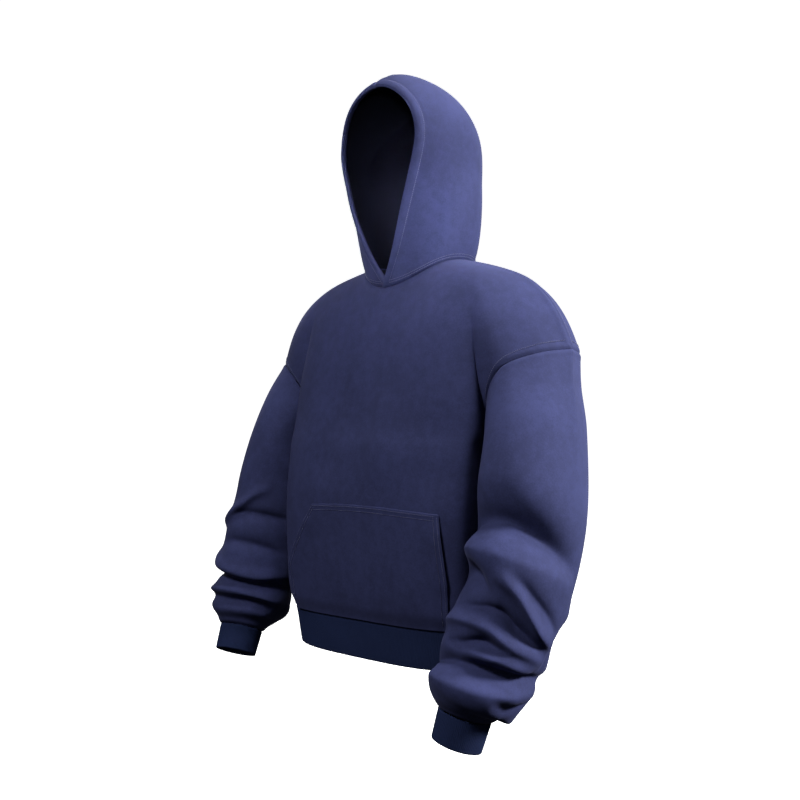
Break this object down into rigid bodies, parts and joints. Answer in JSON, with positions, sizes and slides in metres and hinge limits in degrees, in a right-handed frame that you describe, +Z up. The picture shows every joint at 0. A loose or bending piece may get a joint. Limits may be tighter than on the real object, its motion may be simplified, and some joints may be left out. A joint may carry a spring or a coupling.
{
  "type": "pullover hoodie, hood up, filled out as if worn, with nobody inside",
  "caption": "Pullover hoodie in heavy navy fleece, filled out as if worn, with the hood up, dropped shoulders, baggy sleeves, a front pouch pocket and ribbed cuffs and hem band",
  "frame": {"origin": "middle of the neck, level with the inner ends of the shoulder seams, where the wearer holds the hoodie up", "axes": "+Z up through the hood, -Y out of the front, +X to the wearer's left"},
  "size_m": [0.7448, 0.372, 1.0417],
  "materials": {
    "fleece": "matte",
    "rib": "matte"
  },
  "bodies": {
    "root": {"body_front": "fleece", "body_back": "fleece", "sleeve_left": "fleece", "sleeve_right": "fleece", "hood_left": "fleece", "hood_right": "fleece", "pocket": "fleece", "hem_band": "rib", "cuff_left": "rib", "cuff_right": "rib"}
  },
  "joints": []
}
